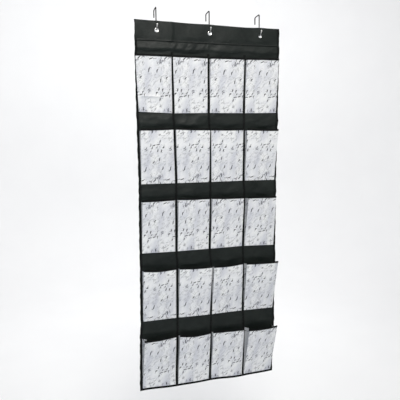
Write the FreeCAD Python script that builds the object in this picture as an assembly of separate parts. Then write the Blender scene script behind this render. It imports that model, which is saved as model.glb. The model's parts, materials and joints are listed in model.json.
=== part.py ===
"""Over-the-door shoe organizer: a fabric panel with five rows of four pockets on three wire door hooks.

Millimetres, +Z up, front of the organizer towards -Y, +X to the right. The origin is the middle of the
middle hook's saddle, where it bears on the top edge of the door. The fabric panel is cut at five fold
lines, one under the header and one in each plain band between two rows, because the panel folds there.
Every pocket is a thin wedge-shaped shell, open at the top, that turns about its bottom seam as it opens.
"""

import FreeCAD, Part
import os
from math import hypot, sin, tan

Vector = FreeCAD.Vector

# ---- driving dimensions ----

# door and hooks
DOOR_GAP = 38.0  # inside the hook's U, for a door of about 35
WIRE_D = 4.0
BACK_LEG_DROP = 22.0  # of the short leg behind the door
CORNER_R = 5.0  # centreline radius of the two bends over the door
EYE_BEND_R = 4.0  # centreline radius where the wire turns out through the eyelet
PRONG_BEND_R = 6.0  # centreline radius of the upturned front end
PRONG_REACH = 13.0  # from the front leg's centreline to where the wire turns up
PRONG_RISE = 13.5  # from the wire in the eyelet up to the centre of the prong's round end
PRONG_LEAN = 10.0  # how far that end leans out over the rise
PRONG_END_R = 3.1  # the upset, rounded end
HOOK_X = 194.0  # outer hooks, each side of the middle one

# fabric panel
HEADER_TOP_Z = -44.0
HEADER_H = 119.5
HEADER_W = 540.0
ROW_W = 532.0
HEM_H = 70.0  # the doubled top of the header
POCKET_H = 196.5
ROW_PITCH = 255.5
ROWS = 5
COLUMNS = 4
BOTTOM_MARGIN = 8.0
PANEL_STAND_OFF = 8.0  # from the door's face to the back of the panel
SHEET_T = 1.2
HEM_T = 1.0
FOLD_GAP = 3.0  # between a fold line and the cut edges each side of it
HEADER_FOLD_Z = -139.0

# tapes
TAPE_T = 0.8
TAPE_W = 7.0
TAPE_WEB = 1.0  # binding outside the sheet's edge

# pockets
COLUMN_PITCH = 133.0
POCKET_W = 126.0
POCKET_WALL = 1.0
POCKET_FLOOR = 1.5
POCKET_TOE = 3.0  # depth at the bottom seam
POCKET_STAND_OFF = 0.3  # clear of the tapes on the panel
POCKET_FOOT_GAP = 0.5  # clear of the bottom binding
MOUTH_BINDING_H = 6.5
# how far each pocket's mouth gapes, by row from the top and by column from the left
MOUTH_DEPTH = [
    [12.0, 12.0, 12.0, 13.0],
    [13.0, 13.0, 14.0, 16.0],
    [13.0, 14.0, 15.0, 18.0],
    [15.0, 15.0, 18.0, 24.0],
    [24.0, 20.0, 16.0, 28.0],
]

# eyelets
EYELET_DROP = 34.0  # from the header's top edge to the eyelet's centre
EYELET_HOLE_R = 5.0
EYELET_BARREL_R = 6.0
EYELET_FLANGE_R = 8.0
EYELET_FLANGE_T = 0.8
EYELET_LIP_R = 7.0
EYELET_LIP_T = 0.3
WASHER_T = 0.7
WIRE_EASE = 0.3  # between the wire and the top of the eyelet's hole

# ---- places worked out from them ----

WIRE_R = WIRE_D / 2
DOOR_FACE_Y = -DOOR_GAP / 2
SHEET_BACK_Y = DOOR_FACE_Y - PANEL_STAND_OFF
SHEET_FRONT_Y = SHEET_BACK_Y - SHEET_T
TAPE_FRONT_Y = SHEET_FRONT_Y - TAPE_T
REAR_TAPE_Y = SHEET_BACK_Y - TAPE_T  # the rear flange of a binding lies flush in a pressed edge
POCKET_BACK_Y = TAPE_FRONT_Y - POCKET_STAND_OFF
EYELET_Z = HEADER_TOP_Z - EYELET_DROP
WIRE_Z = EYELET_Z + EYELET_HOLE_R - WIRE_R - WIRE_EASE
FIRST_MOUTH_Z = HEADER_TOP_Z - HEADER_H
BAND_H = ROW_PITCH - POCKET_H
BOTTOM_Z = FIRST_MOUTH_Z - (ROWS - 1) * ROW_PITCH - POCKET_H - BOTTOM_MARGIN
DIVIDER_XS = [(c - COLUMNS / 2) * COLUMN_PITCH for c in range(1, COLUMNS)]


def mouth_z(row):
    """The height of a row's pocket mouths. Row 1 is the top row."""
    return FIRST_MOUTH_Z - (row - 1) * ROW_PITCH


def floor_z(row):
    """The height of a row's bottom seam."""
    return mouth_z(row) - POCKET_H


def fold_z(number):
    """The height of a fold line. Fold 1 is under the header, fold n is in the band above row n."""
    if number == 1:
        return HEADER_FOLD_Z
    return mouth_z(number) + BAND_H / 2


def column_x(column):
    """The middle of a column. Column 1 is the left one."""
    return (column - (COLUMNS + 1) / 2) * COLUMN_PITCH


# ---- shape helpers ----


def block(x, y, z):
    """A box from three (low, high) pairs, in any order."""
    low = Vector(min(x), min(y), min(z))
    return Part.makeBox(abs(x[1] - x[0]), abs(y[1] - y[0]), abs(z[1] - z[0]), low)


def prism(outline, x_low, x_high):
    """A closed outline of (y, z) points, carried along X."""
    points = [Vector(x_low, y, z) for y, z in outline]
    face = Part.Face(Part.makePolygon(points + points[:1]))
    return face.extrude(Vector(x_high - x_low, 0, 0))


def disc(radius, x, z, y_front, y_back):
    """A cylinder along Y."""
    return Part.makeCylinder(radius, y_back - y_front, Vector(x, y_front, z), Vector(0, 1, 0))


def save(node, *solids):
    """Writes one sub-part's solids to its STEP file."""
    shape = solids[0] if len(solids) == 1 else Part.makeCompound(list(solids))
    if not all(solid.isValid() and solid.Volume > 0 for solid in shape.Solids):
        raise ValueError(f"{node} has a bad solid")
    shape.exportStep(f"parts/{node}.step")


# ---- hooks ----


def bent_wire(corners, radii, radius):
    """A round wire along straight runs, with a tangent arc of the given radius at each inner corner."""
    edges = []
    start = corners[0]
    for before, corner, after, bend in zip(corners, corners[1:], corners[2:], radii):
        towards = (before - corner).normalize()
        onwards = (after - corner).normalize()
        half_angle = towards.getAngle(onwards) / 2
        inwards = (towards + onwards).normalize()
        tangent_in = corner + towards * (bend / tan(half_angle))
        tangent_out = corner + onwards * (bend / tan(half_angle))
        middle = corner + inwards * (bend / sin(half_angle) - bend)
        edges.append(Part.LineSegment(start, tangent_in).toShape())
        edges.append(Part.Arc(tangent_in, middle, tangent_out).toShape())
        start = tangent_out
    edges.append(Part.LineSegment(start, corners[-1]).toShape())
    path = Part.Wire(edges)
    section = Part.Wire(Part.makeCircle(radius, corners[0], corners[1] - corners[0]))
    return path.makePipeShell([section], True, True)


def door_hook(x):
    """One bent wire: a short leg behind the door, a saddle over it, a leg down its face and a prong."""
    saddle_z = WIRE_R
    rear_y = -DOOR_FACE_Y + WIRE_R
    front_y = DOOR_FACE_Y - WIRE_R
    prong_y = front_y - PRONG_REACH
    corners = [
        Vector(x, rear_y, -BACK_LEG_DROP),
        Vector(x, rear_y, saddle_z),
        Vector(x, front_y, saddle_z),
        Vector(x, front_y, WIRE_Z),
        Vector(x, prong_y, WIRE_Z),
        Vector(x, prong_y - PRONG_LEAN, WIRE_Z + PRONG_RISE),
    ]
    wire = bent_wire(corners, [CORNER_R, CORNER_R, EYE_BEND_R, PRONG_BEND_R], WIRE_R)
    rear_end = Part.makeSphere(WIRE_R, corners[0])
    prong_end = Part.makeSphere(PRONG_END_R, corners[-1])
    return wire.fuse([rear_end, prong_end]).removeSplitter().Solids[0]


# ---- fabric panel ----


def panel(width, z_low, z_high):
    """A sheet whose side edges are pressed thin at the back, where the rear of the binding lies."""
    half = width / 2
    sheet = block((-half + TAPE_WEB, half - TAPE_WEB), (SHEET_FRONT_Y, SHEET_BACK_Y), (z_low, z_high))
    for side in (-1, 1):
        pressed = block((side * (half - TAPE_W), side * half), (REAR_TAPE_Y, SHEET_BACK_Y), (z_low, z_high))
        sheet = sheet.cut(pressed)
    return sheet


def edge_binding(width, side, z_low, z_high):
    """A folded tape round one side edge of a sheet: a front flange, a rear flange and the web."""
    outer = side * width / 2
    inner = outer - side * TAPE_W
    tape = block((inner, outer), (TAPE_FRONT_Y, SHEET_BACK_Y), (z_low, z_high))
    slot = block((inner, outer - side * TAPE_WEB), (SHEET_FRONT_Y, REAR_TAPE_Y), (z_low, z_high))
    return tape.cut(slot)


def bottom_binding():
    """A folded tape round the bottom edge of the lowest sheet."""
    half = ROW_W / 2
    top = BOTTOM_Z + BOTTOM_MARGIN
    tape = block((-half, half), (TAPE_FRONT_Y, SHEET_BACK_Y), (BOTTOM_Z, top))
    slot = block(
        (-half + TAPE_WEB, half - TAPE_WEB), (SHEET_FRONT_Y, REAR_TAPE_Y), (BOTTOM_Z + TAPE_WEB, top)
    )
    return tape.cut(slot)


def make_header():
    """The doubled header, its side bindings and its three eyelets."""
    z_low = fold_z(1) + FOLD_GAP
    eyelet_xs = [-HOOK_X, 0.0, HOOK_X]
    hem_half = HEADER_W / 2 - TAPE_W
    hem_front_y = SHEET_FRONT_Y - HEM_T
    sheet = panel(HEADER_W, z_low, HEADER_TOP_Z)
    hem = block(
        (-hem_half, hem_half), (hem_front_y, SHEET_FRONT_Y), (HEADER_TOP_Z - HEM_H, HEADER_TOP_Z)
    )
    for x in eyelet_xs:
        punched = disc(EYELET_BARREL_R, x, EYELET_Z, hem_front_y, SHEET_BACK_Y)
        sheet = sheet.cut(punched)
        hem = hem.cut(punched)
    save("header_backing", sheet)
    save("header_hem", hem)
    save("header_edge_bindings", *[edge_binding(HEADER_W, s, z_low, HEADER_TOP_Z) for s in (-1, 1)])
    save("eyelets", *[eyelet(x, hem_front_y) for x in eyelet_xs])
    save("eyelet_washers", *[eyelet_washer(x) for x in eyelet_xs])


def eyelet(x, face_y):
    """A flanged barrel through both plies of the header, rolled over its washer at the back."""
    washer_back_y = SHEET_BACK_Y + WASHER_T
    back_y = washer_back_y + EYELET_LIP_T
    flange = disc(EYELET_FLANGE_R, x, EYELET_Z, face_y - EYELET_FLANGE_T, face_y)
    barrel = disc(EYELET_BARREL_R, x, EYELET_Z, face_y, washer_back_y)
    lip = disc(EYELET_LIP_R, x, EYELET_Z, washer_back_y, back_y)
    hole = disc(EYELET_HOLE_R, x, EYELET_Z, face_y - EYELET_FLANGE_T, back_y)
    return flange.fuse([barrel, lip]).cut(hole).removeSplitter().Solids[0]


def eyelet_washer(x):
    """The flat ring behind the header, under the eyelet's rolled lip."""
    washer_back_y = SHEET_BACK_Y + WASHER_T
    ring = disc(EYELET_FLANGE_R, x, EYELET_Z, SHEET_BACK_Y, washer_back_y)
    return ring.cut(disc(EYELET_BARREL_R, x, EYELET_Z, SHEET_BACK_Y, washer_back_y))


def make_row_panel(row):
    """One row's stretch of the backing sheet with its edge bindings and divider tapes."""
    z_high = fold_z(row) - FOLD_GAP
    if row < ROWS:
        z_low = fold_z(row + 1) + FOLD_GAP
        tape_low = z_low
        sheet = panel(ROW_W, z_low, z_high)
    else:
        z_low = BOTTOM_Z + TAPE_WEB
        tape_low = BOTTOM_Z + BOTTOM_MARGIN
        half = ROW_W / 2
        pressed = block((-half, half), (REAR_TAPE_Y, SHEET_BACK_Y), (z_low, tape_low))
        sheet = panel(ROW_W, z_low, z_high).cut(pressed)
        save("bottom_binding", bottom_binding())
    tapes = [edge_binding(ROW_W, side, tape_low, z_high) for side in (-1, 1)]
    for x in DIVIDER_XS:
        strip = (x - TAPE_W / 2, x + TAPE_W / 2)
        tapes.append(block(strip, (TAPE_FRONT_Y, SHEET_FRONT_Y), (tape_low, z_high)))
    save(f"backing_row_{row}", sheet)
    save(f"seam_tapes_row_{row}", *tapes)


# ---- pockets ----


def make_pocket(row, column):
    """A wedge-shaped shell open at the top, and the binding round its mouth."""
    low = floor_z(row) + POCKET_FOOT_GAP
    high = mouth_z(row)
    depth = MOUTH_DEPTH[row - 1][column - 1]
    left = column_x(column) - POCKET_W / 2
    right = left + POCKET_W

    def front(z, offset):
        """The front wall's y at a height, moved outwards by an offset square to the wall."""
        slope = (depth - POCKET_TOE) / (high - low)
        return POCKET_BACK_Y - POCKET_TOE - slope * (z - low) - offset * hypot(1, slope)

    def wedge(z_low, z_high, offset, back_y):
        """The side outline between two heights, with the front wall moved by an offset."""
        return [
            (back_y, z_low),
            (front(z_low, offset), z_low),
            (front(z_high, offset), z_high),
            (back_y, z_high),
        ]

    past_back = POCKET_BACK_Y + POCKET_WALL
    past_top = high + 2 * TAPE_T
    outside = prism(wedge(low, high, 0, POCKET_BACK_Y), left, right)
    inside = prism(
        wedge(low + POCKET_FLOOR, past_top, -POCKET_WALL, past_back),
        left + POCKET_WALL,
        right - POCKET_WALL,
    )
    save(f"pocket_{row}_{column}", outside.cut(inside))

    binding_low = high - MOUTH_BINDING_H
    wrap = prism(
        wedge(binding_low, high + TAPE_T, TAPE_T, POCKET_BACK_Y), left - TAPE_T, right + TAPE_T
    )
    core = prism(wedge(binding_low, high, 0, past_back), left, right)
    save(f"mouth_binding_{row}_{column}", wrap.cut(core).cut(inside))


os.makedirs("parts", exist_ok=True)
save("door_hook_left", door_hook(-HOOK_X))
save("door_hook_middle", door_hook(0.0))
save("door_hook_right", door_hook(HOOK_X))
make_header()
for row in range(1, ROWS + 1):
    make_row_panel(row)
    for column in range(1, COLUMNS + 1):
        make_pocket(row, column)
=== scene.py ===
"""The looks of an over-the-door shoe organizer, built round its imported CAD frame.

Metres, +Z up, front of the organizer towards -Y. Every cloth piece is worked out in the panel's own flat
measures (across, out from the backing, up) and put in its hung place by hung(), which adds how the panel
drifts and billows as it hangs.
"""

import json
from math import cos, pi, radians, sin

import bpy
import numpy as np
from mathutils import Matrix, Vector, noise


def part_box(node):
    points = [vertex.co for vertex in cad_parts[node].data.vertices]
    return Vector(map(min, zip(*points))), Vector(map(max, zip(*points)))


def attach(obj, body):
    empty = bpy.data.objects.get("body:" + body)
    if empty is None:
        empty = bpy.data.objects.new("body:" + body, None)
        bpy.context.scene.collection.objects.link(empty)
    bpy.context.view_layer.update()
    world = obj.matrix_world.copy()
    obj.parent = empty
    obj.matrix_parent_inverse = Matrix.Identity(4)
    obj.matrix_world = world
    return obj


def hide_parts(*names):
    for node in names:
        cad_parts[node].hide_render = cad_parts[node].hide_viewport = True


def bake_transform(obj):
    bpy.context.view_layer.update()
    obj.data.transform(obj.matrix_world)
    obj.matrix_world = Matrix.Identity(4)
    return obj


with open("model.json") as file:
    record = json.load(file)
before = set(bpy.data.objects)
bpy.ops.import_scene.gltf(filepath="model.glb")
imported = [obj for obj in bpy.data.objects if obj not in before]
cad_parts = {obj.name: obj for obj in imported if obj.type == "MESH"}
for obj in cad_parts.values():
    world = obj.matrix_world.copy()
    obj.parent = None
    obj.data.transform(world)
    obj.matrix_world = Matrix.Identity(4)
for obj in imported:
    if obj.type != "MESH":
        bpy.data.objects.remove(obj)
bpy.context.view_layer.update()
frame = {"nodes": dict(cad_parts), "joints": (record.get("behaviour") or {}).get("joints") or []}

# ---- sizes and places ----

MM = 0.001
ROWS = 5
COLUMNS = 4

joint_at = {joint["name"]: Vector(joint["pos_m"]) for joint in frame["joints"]}
pocket_box = {(r, c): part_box(f"pocket_{r}_{c}") for r in range(1, ROWS + 1) for c in range(1, COLUMNS + 1)}
MOUTH_Z = {r: pocket_box[r, 1][1].z for r in range(1, ROWS + 1)}
FLOOR_Z = {r: pocket_box[r, 1][0].z - 0.5 * MM for r in range(1, ROWS + 1)}
POCKET_H = MOUTH_Z[1] - FLOOR_Z[1]
DIVIDER_X = [(pocket_box[1, c][1].x + pocket_box[1, c + 1][0].x) / 2 for c in range(1, COLUMNS)]
HEADER_TOP_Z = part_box("header_backing")[1].z
HEM_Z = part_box("header_hem")[0].z
BOTTOM_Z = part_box("bottom_binding")[0].z
HALF_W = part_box("backing_row_2")[1].x + 1 * MM
CLOTH_HALF_W = HALF_W - 1 * MM  # the backing's cloth ends just inside its edge bindings' folds
SHEET_Y = joint_at["fold_1"].y
FORWARD, BACKWARD = (0, -1, 0), (0, 1, 0)
EYELET_X = sorted(joint_at[name].x for name in ("hook_left_swivel", "header_swing", "hook_right_swivel"))
EYELET_Z = (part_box("eyelets")[0].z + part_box("eyelets")[1].z) / 2

GRID = 4 * MM  # between the points of a sheet's mesh
SHEET_T = 1.0 * MM
HEM_T = 0.9 * MM
HEM_BEND_R = 1.2 * MM  # of its turn over the sheet's top edge
HEM_OVER = 3 * MM  # of its cloth in that turn
HEM_BEHIND = 12 * MM  # of its cloth down behind the sheet
HOLE_R = 5.9 * MM  # of the cloth's holes, under the eyelets' flanges
CUT_R = 5.5 * MM  # a cell of a sheet's mesh is left out if its middle is nearer than this to an eyelet's
TAPE_T = 0.55 * MM
DIVIDER_W = 9.0 * MM
EDGE_W = 9.0 * MM
BOTTOM_BINDING_H = 10.5 * MM
MOUTH_BINDING_H = 6.5 * MM
POCKET_T = 0.5 * MM
POCKET_TOE = 2.2 * MM  # how far a pocket's front stands out at its bottom seam
FRONT_W = 125 * MM  # of a pocket's front, between its pleats
PLEAT = 17 * MM  # each of a pocket's four folds, two at each side
GUSSET_DIP = 7 * MM  # how far the top of a closed gusset sinks below the mouth
FOLD_R = 1.1 * MM  # of the rounding of a pocket's corners
FRONT_COUNT = 30  # points across a front
PLEAT_COUNT = 5  # points across a fold

PRINT_REPEAT = 92 * MM
PRINT_START = np.random.default_rng(12).uniform(0, PRINT_REPEAT, (ROWS, COLUMNS))

# how the hung panel strays from true, in mm, at its left edge, its three seams and its right edge: a line for
# the top edge, and then one for each row's mouths and one for its bottom seam
SIDEWAYS = [
    [-5, -8, -7, 0, 5],
    [-6, -8, -7, 0, 6],
    [-5, -5, -6, -2, 4],
    [-4, -3, -3, -1, 3],
    [-2, 2, -1, -2, -1],
    [-3, 1, -2, 1, -1],
    [-4, 0, -5, -3, -2],
    [-4, 2, 0, -2, -1],
    [-6, 1, -2, -4, -3],
    [-10, 0, -2, 0, -3],
    [-13, -5, -6, -4, -9],
]
UPWARDS = [
    [-2, -3, -4, -4, -2],
    [0, 1, 1, 3, 6],
    [0, -4, -1, 0, 3],
    [-1, 3, 1, 2, 0],
    [-1, 0, 1, 3, 3],
    [0, 4, 4, 2, 0],
    [2, 2, 4, 6, 3],
    [2, 1, -1, 3, 2],
    [1, 2, 3, 5, 4],
    [-5, -2, -3, -5, -2],
    [-4, -4, -2, 0, 3],
]

# each pocket's mouth, by row and by column: how far its left and right front edges stand out, in mm
GAPE_LEFT = [[12, 12, 12, 13], [12, 13, 15, 17], [12, 14, 15, 20], [17, 15, 19, 24], [26, 20, 16, 29]]
GAPE_RIGHT = [[12, 12, 12, 13], [12, 13, 13, 17], [13, 14, 15, 17], [13, 15, 16, 25], [17, 16, 15, 29]]
# how far those edges have moved to the right of where they start, in mm
SHIFT_LEFT = [[-9, -3, 0, -1], [2, 0, -2, 2], [2, 1, 0, 6], [1, 2, 3, 2], [4, 1, 1, 8]]
SHIFT_RIGHT = [[1, 0, 1, 4], [0, 4, -2, 6], [-2, 0, -1, 3], [-2, 6, -1, 11], [-3, -1, 2, 11]]
# how far the middle of each mouth sags, in mm
SAG = [[0, 0, 0, 0], [1, 1, 1, 1], [1, 1, 1, 0], [4, 2, 3, 1], [3, 5, 1, 3]]
# the pockets whose left gusset stands up to its full height; the others' gussets sink behind the mouth
OPEN_LEFT_GUSSETS = {(5, 1), (5, 4)}
# creased fronts: the crease's height at the left as a share of the pocket's, its rise, and its depth in mm
CREASES = {(1, 1): (0.27, -0.02, 2.7), (2, 1): (0.15, -0.09, 2.3)}


# ---- the hung panel ----


def smooth(low, high, at):
    """0 below low, 1 above high, and a smooth step between."""
    t = np.clip((at - low) / (high - low), 0, 1)
    return t * t * (3 - 2 * t)


def billow(x, z):
    """How far the whole panel stands out of its plane, less near the hooks and more near the bottom."""
    down = smooth(-0.25, -1.45, z)
    return down * (1.6 * np.sin(x * 17 + z * 5 + 0.7) + 1.1 * np.sin(x * 31 - z * 8)) * MM


def top_droop(x, z):
    """The header's top edge sags between the hooks and towards its right end."""
    between_left = np.exp(-(((x + 0.085) / 0.05) ** 2))
    between_right = np.exp(-(((x - 0.115) / 0.06) ** 2))
    end = smooth(0.15, 0.26, x)
    fade = smooth(HEM_Z, HEADER_TOP_Z, z)
    return -(1.2 * between_left + 2.4 * between_right + 1.5 * end) * fade * MM


def bottom_wave(x, z):
    """The bottom edge isn't quite level."""
    down = smooth(FLOOR_Z[4], BOTTOM_Z, z)
    return down * (1.3 * np.sin(x * 23 + 1.0) + 0.8 * np.sin(x * 47 + 0.3)) * MM


def stray(table, x, z):
    """A table's value between its lines: smooth from height to height and straight from seam to seam."""
    heights = [HEADER_TOP_Z]
    for row in range(1, ROWS + 1):
        heights += [MOUTH_Z[row], FLOOR_Z[row]]
    heights = -np.array(heights)
    lines = np.array([-HALF_W, *DIVIDER_X, HALF_W])
    values = np.array(table) * MM
    k = np.clip(np.searchsorted(heights, -z, side="right") - 1, 0, len(heights) - 2)
    n = np.clip(np.searchsorted(lines, x, side="right") - 1, 0, len(lines) - 2)
    down = smooth(0, 1, (-z - heights[k]) / (heights[k + 1] - heights[k]))
    over = (x - lines[n]) / (lines[n + 1] - lines[n])
    upper = values[k, n] * (1 - over) + values[k, n + 1] * over
    lower = values[k + 1, n] * (1 - over) + values[k + 1, n + 1] * over
    return upper * (1 - down) + lower * down


def hung(x, out, z):
    """Flat measures to the hung place: across, out from the middle of the backing sheet, and up."""
    x, out, z = np.broadcast_arrays(np.asarray(x, float), out, z)
    free = np.ones(x.shape)
    for eyelet_x in EYELET_X:
        free *= smooth(9 * MM, 45 * MM, np.hypot(x - eyelet_x, z - EYELET_Z))
    across = x + free * stray(SIDEWAYS, x, z)
    up = z + free * (stray(UPWARDS, x, z) + top_droop(x, z)) + bottom_wave(x, z)
    return np.stack([across, SHEET_Y - out - billow(x, z), up], axis=-1)


# ---- mesh helpers ----


def finished(name, vertices, faces, materials, picks=None, cloth=None):
    """A smooth-shaded mesh object with its materials and, for cloth, its flat coordinates in metres."""
    mesh = bpy.data.meshes.new(name)
    mesh.from_pydata(np.asarray(vertices).tolist(), [], faces)
    for material in materials:
        mesh.materials.append(material)
    if picks is not None:
        mesh.polygons.foreach_set("material_index", np.asarray(picks, np.int32))
    if cloth is not None:
        values = np.zeros((len(mesh.vertices), 3), np.float32)
        values[: len(cloth), :2] = cloth
        mesh.attributes.new("cloth", "FLOAT_VECTOR", "POINT").data.foreach_set("vector", values.ravel())
    mesh.polygons.foreach_set("use_smooth", np.ones(len(mesh.polygons), bool))
    mesh.set_sharp_from_angle(angle=radians(48))
    mesh.validate()
    obj = bpy.data.objects.new(name, mesh)
    bpy.context.scene.collection.objects.link(obj)
    return obj


def slab(middle, thickness, cloth, keep=None):
    """A closed sheet about a grid of mid-surface points (rows, columns, 3).

    Returns vertices, faces, the side each face is on (0 front, 1 back, 2 edge) and flat coordinates.
    The front is the side that faces -Y when columns run along +X and rows run along +Z.
    """
    rows, columns = middle.shape[:2]
    along = np.gradient(middle, axis=1)
    up = np.gradient(middle, axis=0)
    normal = np.cross(along, up)
    normal /= np.linalg.norm(normal, axis=-1, keepdims=True) + 1e-12
    half = normal * (np.broadcast_to(thickness, (rows, columns))[..., None] / 2)
    vertices = np.concatenate([(middle + half).reshape(-1, 3), (middle - half).reshape(-1, 3)])
    count = rows * columns
    i, j = np.meshgrid(np.arange(rows - 1), np.arange(columns - 1), indexing="ij")
    corner = (i * columns + j).ravel()
    quads = np.stack([corner, corner + 1, corner + columns + 1, corner + columns], axis=1)
    if keep is not None:
        quads = quads[keep.ravel()]
    seen = {}
    for a, b, c, d in quads.tolist():
        for edge in ((a, b), (b, c), (c, d), (d, a)):
            seen[edge] = True
    rim = [edge for edge in seen if (edge[1], edge[0]) not in seen]
    front = quads.tolist()
    back = (quads[:, ::-1] + count).tolist()
    edges = [[b, a, a + count, b + count] for a, b in rim]
    sides = [0] * len(front) + [1] * len(back) + [2] * len(edges)
    flat = np.concatenate([cloth.reshape(-1, 2)] * 2)
    return vertices, front + back + edges, sides, flat


def flat_grid(across, up):
    """Flat coordinates for a grid of points, from its columns' places across and its rows' places up."""
    return np.stack(np.broadcast_arrays(across[None, :], up[:, None]), axis=-1)


def run_lengths(a, b):
    """How far along a line its points lie, from their two coordinates."""
    return np.concatenate([[0], np.cumsum(np.hypot(np.diff(a), np.diff(b)))])


def part(middle, thickness, cloth, keep=None):
    """A slab that is all of its piece's first material, as (vertices, faces, picks, cloth)."""
    vertices, faces, _, flat = slab(middle, thickness, cloth, keep)
    return vertices, faces, [0] * len(faces), flat


def joined(*parts):
    """Several (vertices, faces, picks, cloth) as one."""
    vertices, faces, picks, cloth, start = [], [], [], [], 0
    for points, polygons, chosen, flat in parts:
        vertices.append(points)
        faces += [[v + start for v in polygon] for polygon in polygons]
        picks += list(chosen)
        cloth.append(np.zeros((len(points), 2)) if flat is None else flat)
        start += len(points)
    return np.concatenate(vertices), faces, picks, np.concatenate(cloth)


def stitches(path, outward, pick, pitch=3.6 * MM, length=2.7 * MM, radius=0.28 * MM):
    """A line of sewn stitches along a path of points, each a short thread that dips at its ends."""
    path = np.asarray(path, float)
    outward = np.broadcast_to(np.asarray(outward, float), path.shape)
    steps = np.linalg.norm(np.diff(path, axis=0), axis=1)
    run = np.concatenate([[0], np.cumsum(steps)])
    centres = np.arange(pitch / 2, run[-1] - pitch / 3, pitch)
    if not len(centres):
        return np.zeros((0, 3)), [], [], None

    def on_path(at, values):
        return np.stack([np.interp(at, run, values[:, k]) for k in range(3)], axis=-1)

    out = on_path(centres, outward)
    ahead = on_path(centres + 0.2 * length, path) - on_path(centres - 0.2 * length, path)
    ahead /= np.linalg.norm(ahead, axis=1, keepdims=True)
    beside = np.cross(ahead, out)
    beside /= np.linalg.norm(beside, axis=1, keepdims=True)
    # each ring's place in shares of the stitch's length, and its lift and size in shares of the radius
    rings = ((-0.5, -0.5, 0.35), (-0.28, 0.6, 1.0), (0.28, 0.6, 1.0), (0.5, -0.5, 0.35))
    sides = 5
    vertices = []
    for share, lift, size in rings:
        centre = on_path(centres + share * length, path)
        for turn in range(sides):
            angle = turn * 2 * pi / sides
            offset = (beside * cos(angle) + out * sin(angle)) * radius * size
            vertices.append(centre + out * radius * lift + offset)
    vertices = np.stack(vertices, axis=1).reshape(-1, 3)
    faces = []
    for stitch in range(len(centres)):
        base = stitch * sides * len(rings)
        last = base + sides * (len(rings) - 1)
        faces.append([base + k for k in reversed(range(sides))])
        faces.append([last + k for k in range(sides)])
        for ring in range(base, last, sides):
            for k in range(sides):
                a = ring + k
                b = ring + (k + 1) % sides
                faces.append([a, b, b + sides, a + sides])
    return vertices, faces, [pick] * len(faces), None


def lathe(profile, centre, segments=48):
    """A ring turned about the Y axis through a centre, from a closed outline of (radius, y) points."""
    vertices, faces = [], []
    n = len(profile)
    for k in range(segments):
        angle = 2 * pi * k / segments
        for radius, y in profile:
            vertices.append((centre[0] + radius * cos(angle), y, centre[2] + radius * sin(angle)))
    for k in range(segments):
        for p in range(n):
            a = k * n + p
            b = k * n + (p + 1) % n
            c = ((k + 1) % segments) * n + (p + 1) % n
            d = ((k + 1) % segments) * n + p
            faces.append([a, b, c, d])
    return np.array(vertices), faces, [0] * len(faces), None


# ---- materials ----


class Recipe:
    """A node material under construction."""

    def __init__(self, name, **constants):
        self.material = bpy.data.materials.new(name)
        self.material.use_nodes = True
        self.tree = self.material.node_tree
        self.shader = next(n for n in self.tree.nodes if n.type == "BSDF_PRINCIPLED")
        self.surface(**constants)

    def node(self, kind, inputs=None, **settings):
        """A node with its settings and with its inputs fed from values or other nodes' outputs."""
        made = self.tree.nodes.new(kind)
        for name, value in settings.items():
            setattr(made, name, value)
        for name, value in (inputs or {}).items():
            self.feed(made.inputs[name], value)
        return made

    def feed(self, socket, value):
        """Links an output to a socket, or sets the socket to a plain value."""
        if isinstance(value, bpy.types.NodeSocket):
            self.tree.links.new(value, socket)
        else:
            socket.default_value = value

    def surface(self, **values):
        """Feeds the shader's inputs by name, and gives the material."""
        for name, value in values.items():
            self.feed(self.shader.inputs[name.replace("_", " ")], value)
        return self.material

    def calc(self, operation, *values):
        """A sum on values or outputs, by the name of the Math node's operation."""
        return self.node("ShaderNodeMath", dict(enumerate(values)), operation=operation).outputs[0]

    def times(self, a, b):
        return self.calc("MULTIPLY", a, b)

    def plus(self, a, b):
        return self.calc("ADD", a, b)

    def minus(self, a, b):
        return self.calc("SUBTRACT", a, b)

    def ramp(self, value, low, high, to_low=0.0, to_high=1.0):
        """A smooth step from to_low, where the value is low, to to_high, where it is high."""
        inputs = {0: value, 1: low, 2: high, 3: to_low, 4: to_high}
        return self.node("ShaderNodeMapRange", inputs, interpolation_type="SMOOTHSTEP").outputs[0]

    def noise(self, vector, scale, detail=3.0, roughness=0.5, distortion=0.0):
        inputs = {"Vector": vector, "Scale": scale, "Detail": detail}
        inputs.update({"Roughness": roughness, "Distortion": distortion})
        return self.node("ShaderNodeTexNoise", inputs).outputs["Fac"]

    def mix(self, factor, a, b):
        made = self.node("ShaderNodeMix", data_type="RGBA")
        for socket, value in zip([s for s in made.inputs if s.type == "RGBA"], (a, b)):
            self.feed(socket, value)
        self.feed(made.inputs[0], factor)
        return next(s for s in made.outputs if s.type == "RGBA")

    def bump(self, height, distance, strength=1.0, under=None):
        inputs = {"Height": height, "Distance": distance, "Strength": strength}
        if under is not None:
            inputs["Normal"] = under
        return self.node("ShaderNodeBump", inputs).outputs[0]

    def place(self):
        """Each point's place in its own object's frame."""
        return self.node("ShaderNodeTexCoord").outputs["Object"]

    def cloth(self):
        """The flat coordinates of the cloth in metres: the vector, across and up."""
        vector = self.node("ShaderNodeAttribute", attribute_name="cloth").outputs["Vector"]
        parts = self.node("ShaderNodeSeparateXYZ", {0: vector})
        return vector, parts.outputs[0], parts.outputs[1]

    def embossed(self, across, up, pitch):
        """The small pressed diamonds of spun-bonded cloth, as a height from 0 to 1."""
        turn = 2 * pi / pitch
        one = self.calc("SINE", self.times(self.plus(across, up), turn))
        two = self.calc("SINE", self.times(self.minus(across, up), turn))
        return self.calc("ABSOLUTE", self.times(one, two))


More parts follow.
